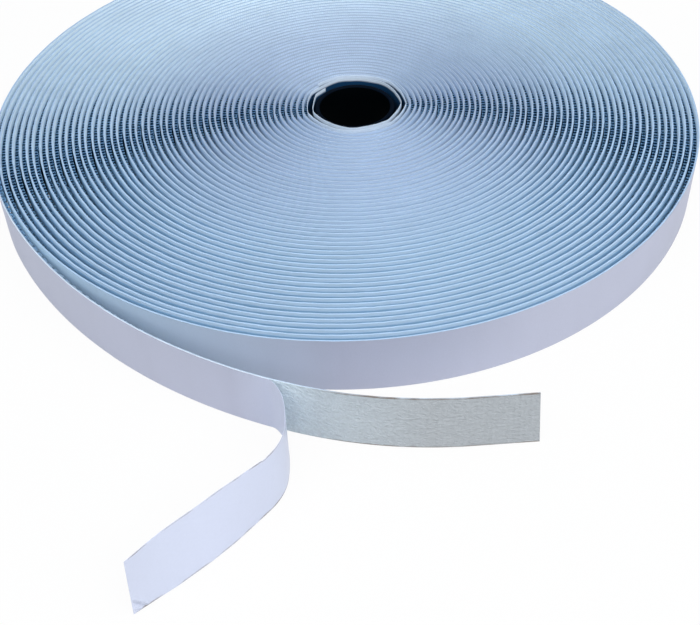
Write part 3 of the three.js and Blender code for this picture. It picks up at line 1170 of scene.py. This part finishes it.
class TAPEROLL_OT_liner(bpy.types.Operator):
    """Adds the liner on the lifted turn and the liner that is peeled off the bare end"""

    bl_idname = "taperoll.liner"
    bl_label = "Lifted and peeled liner"

    def execute(self, context):
        sizes, colours = choices(context)
        width = sizes.tape_width
        run, along, peel_line = tail_run(sizes)
        finishes = [liner_material(colours), release_material(colours, width)]
        ring = strip_ring(LAYER_CLEARANCE, LAYER_CLEARANCE + sizes.liner_thickness, np.linspace(0, width, 13))
        part, places = cut_run(run, along, -ON_ROLL, LIFT_SPLIT)
        lifted = strip_piece("lifted_liner_strip", part, places, ring, edge_shape(width), LOOSE_MAP_ROWS)
        finish_piece(lifted, finishes, "lifted_liner")
        side_slots(lifted, len(part), len(ring), len(ring) // 2)
        bend_at_lift(lifted)
        self.peeled(sizes, finishes, run, along, peel_line)
        return {"FINISHED"}

    def peeled(self, sizes, finishes, run, along, peel_line):
        """The liner from the lifted turn through the fold to the middle of its bend, and the rest of it."""
        width, half = sizes.tape_width, sizes.liner_thickness / 2
        flap, fold_start = flap_run(sizes, peel_line)
        fold_at = LIFT_GAP + LIFT_LENGTH + fold_start
        part, _ = cut_run(run, along, LIFT_SPLIT, fold_at)
        lead_in = np.array([place_beside(station, 0, LAYER_CLEARANCE + half) for station in part])
        whole = join_runs(lead_in, flap)
        reach = distances(whole)
        reach = reach + fold_at - reach[len(lead_in) - 1]
        edge, curled = edge_shape(width), flap_shape(width, reach[-1] - fold_at)

        def shape(distance, offset, height):
            offset, height, _ = edge(distance, offset, height)
            past = np.maximum(distance - fold_at, 0)
            return curled(past, offset, height)

        ring = strip_ring(-half, half, np.linspace(0, width, 41))
        stretches = (
            ("peeled_liner_lead", reach[0], fold_at + FLAP_SPLIT, "liner_flap"),
            ("peeled_liner_end", fold_at + FLAP_SPLIT, reach[-1], "liner_flap_end"),
        )
        pieces = []
        for name, start, end, node in stretches:
            part, places = cut_run(whole, reach, start, end)
            piece = strip_piece(name, part, places, ring, shape, LOOSE_MAP_ROWS)
            finish_piece(piece, finishes, node)
            side_slots(piece, len(part), len(ring), len(ring) // 2)
            pieces.append(piece)
        self.bend_flap(pieces, peel_line[2])

    def bend_flap(self, pieces, heading):
        """Bakes the placement of the lead and of the end into their meshes."""
        lead, end = pieces
        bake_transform(lead)
        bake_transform(end)


class TAPEROLL_OT_stage(bpy.types.Operator):
    """Adds the floor, the lamps, the sky and the camera"""

    bl_idname = "taperoll.stage"
    bl_label = "Stage"

    def execute(self, context):
        stage = context.scene.tape_roll_stage
        self.floor()
        self.sky(context, stage)
        self.lamp(context, "right_lamp", RIGHT_LAMP, stage.right_power, stage.key)
        self.lamp(context, "left_lamp", LEFT_LAMP, stage.left_power, stage.key)
        camera = bpy.data.objects.new("camera", bpy.data.cameras.new("camera"))
        context.scene.collection.objects.link(camera)
        camera.data.sensor_fit = "HORIZONTAL"
        camera.data.sensor_width = 36
        camera.data.lens = stage.lens
        camera.location = (ROLL_MIDDLE[0], ROLL_MIDDLE[1] - CAMERA_BACK, CAMERA_HEIGHT)
        camera.rotation_euler = [math.radians(turn) for turn in CAMERA_TURN]
        camera.data.clip_start = 0.01
        context.scene.camera = camera
        context.scene.view_settings.view_transform = "Standard"
        return {"FINISHED"}

    def floor(self):
        """A wide pale floor that the camera sees as white, apart from the object's faint shadow."""
        square = np.array([(-1, -1), (1, -1), (1, 1), (-1, 1)]) * FLOOR_REACH
        corners = np.column_stack([square, np.full(len(square), -FLOOR_DROP)])
        floor = mesh_piece("floor", corners, np.array([[0, 1, 2, 3]]))
        material = bpy.data.materials.new("Pale floor")
        material.use_nodes = True
        tree = material.node_tree
        shader = tree.nodes["Principled BSDF"]
        shader.inputs["Base Color"].default_value = (0.70, 0.69, 0.68, 1)
        shader.inputs["Roughness"].default_value = 0.9
        glow = add_node(tree, "ShaderNodeEmission", {"Color": (1, 1, 1, 1), "Strength": 1.0})
        path = add_node(tree, "ShaderNodeLightPath")
        seen = math_node(tree, "MAXIMUM", path.outputs["Is Camera Ray"], path.outputs["Is Glossy Ray"])
        share = math_node(tree, "MULTIPLY", seen, 0.94)
        mix = add_node(tree, "ShaderNodeMixShader", {0: share, 1: shader.outputs[0], 2: glow.outputs[0]})
        tree.links.new(mix.outputs[0], tree.nodes["Material Output"].inputs["Surface"])
        floor.data.materials.append(material)

    def sky(self, context, stage):
        """Cool light that is strongest overhead; the camera sees it as white."""
        world = bpy.data.worlds.new("Studio sky")
        world.use_nodes = True
        tree = world.node_tree
        light = tree.nodes["Background"]
        light.inputs["Color"].default_value = (*stage.sky, 1)
        place = add_node(tree, "ShaderNodeTexCoord").outputs["Generated"]
        upward = add_node(tree, "ShaderNodeSeparateXYZ", {"Vector": place}).outputs["Z"]
        strength = ramp(tree, upward, 0.0, 1.0, 0.3 * stage.sky_strength, 1.5 * stage.sky_strength)
        tree.links.new(strength, light.inputs["Strength"])
        white = add_node(tree, "ShaderNodeBackground", {"Color": (1, 1, 1, 1), "Strength": 1.0})
        path = add_node(tree, "ShaderNodeLightPath")
        mix = add_node(
            tree, "ShaderNodeMixShader",
            {0: path.outputs["Is Camera Ray"], 1: light.outputs[0], 2: white.outputs[0]},
        )
        tree.links.new(mix.outputs[0], tree.nodes["World Output"].inputs["Surface"])
        context.scene.world = world

    def lamp(self, context, name, place, power, colour):
        """A soft lamp at a place seen from the roll's middle, which it faces."""
        lamp = bpy.data.objects.new(name, bpy.data.lights.new(name, "AREA"))
        lamp.data.shape = "SQUARE"
        lamp.data.size = LAMP_SIZE
        lamp.data.energy = power
        lamp.data.color = colour
        x, y, z = place
        lamp.location = (ROLL_MIDDLE[0] + x, ROLL_MIDDLE[1] + y, z)
        lamp.rotation_euler = (math.atan2(math.hypot(x, y), z), 0, math.atan2(x, -y))
        context.scene.collection.objects.link(lamp)


class TAPEROLL_PT_panel(bpy.types.Panel):
    """The roll's sizes, colours, stage and building steps"""

    bl_idname = "TAPEROLL_PT_panel"
    bl_label = "Tape roll"
    bl_space_type = "VIEW_3D"
    bl_region_type = "UI"
    bl_category = "Tape roll"

    def draw(self, context):
        layout = self.layout
        for group in (*choices(context), context.scene.tape_roll_stage):
            column = layout.column(align=True)
            for name in group.__annotations__:
                column.prop(group, name)
        column = layout.column(align=True)
        for operator in OPERATORS:
            column.operator(operator.bl_idname)


OPERATORS = (
    TAPEROLL_OT_core,
    TAPEROLL_OT_winding,
    TAPEROLL_OT_wound_hooks,
    TAPEROLL_OT_tail,
    TAPEROLL_OT_liner,
    TAPEROLL_OT_stage,
)
CLASSES = (TapeRollSizes, TapeRollColours, TapeRollStage, *OPERATORS, TAPEROLL_PT_panel)


def register():
    for one in CLASSES:
        bpy.utils.register_class(one)
    bpy.types.Scene.tape_roll_sizes = PointerProperty(type=TapeRollSizes)
    bpy.types.Scene.tape_roll_colours = PointerProperty(type=TapeRollColours)
    bpy.types.Scene.tape_roll_stage = PointerProperty(type=TapeRollStage)


def unregister():
    del bpy.types.Scene.tape_roll_stage
    del bpy.types.Scene.tape_roll_colours
    del bpy.types.Scene.tape_roll_sizes
    for one in reversed(CLASSES):
        bpy.utils.unregister_class(one)


def main():
    register()
    bpy.ops.taperoll.core()
    bpy.ops.taperoll.winding()
    bpy.ops.taperoll.wound_hooks()
    bpy.ops.taperoll.tail()
    bpy.ops.taperoll.liner()
    bpy.ops.taperoll.stage()


if __name__ == "__main__":
    main()
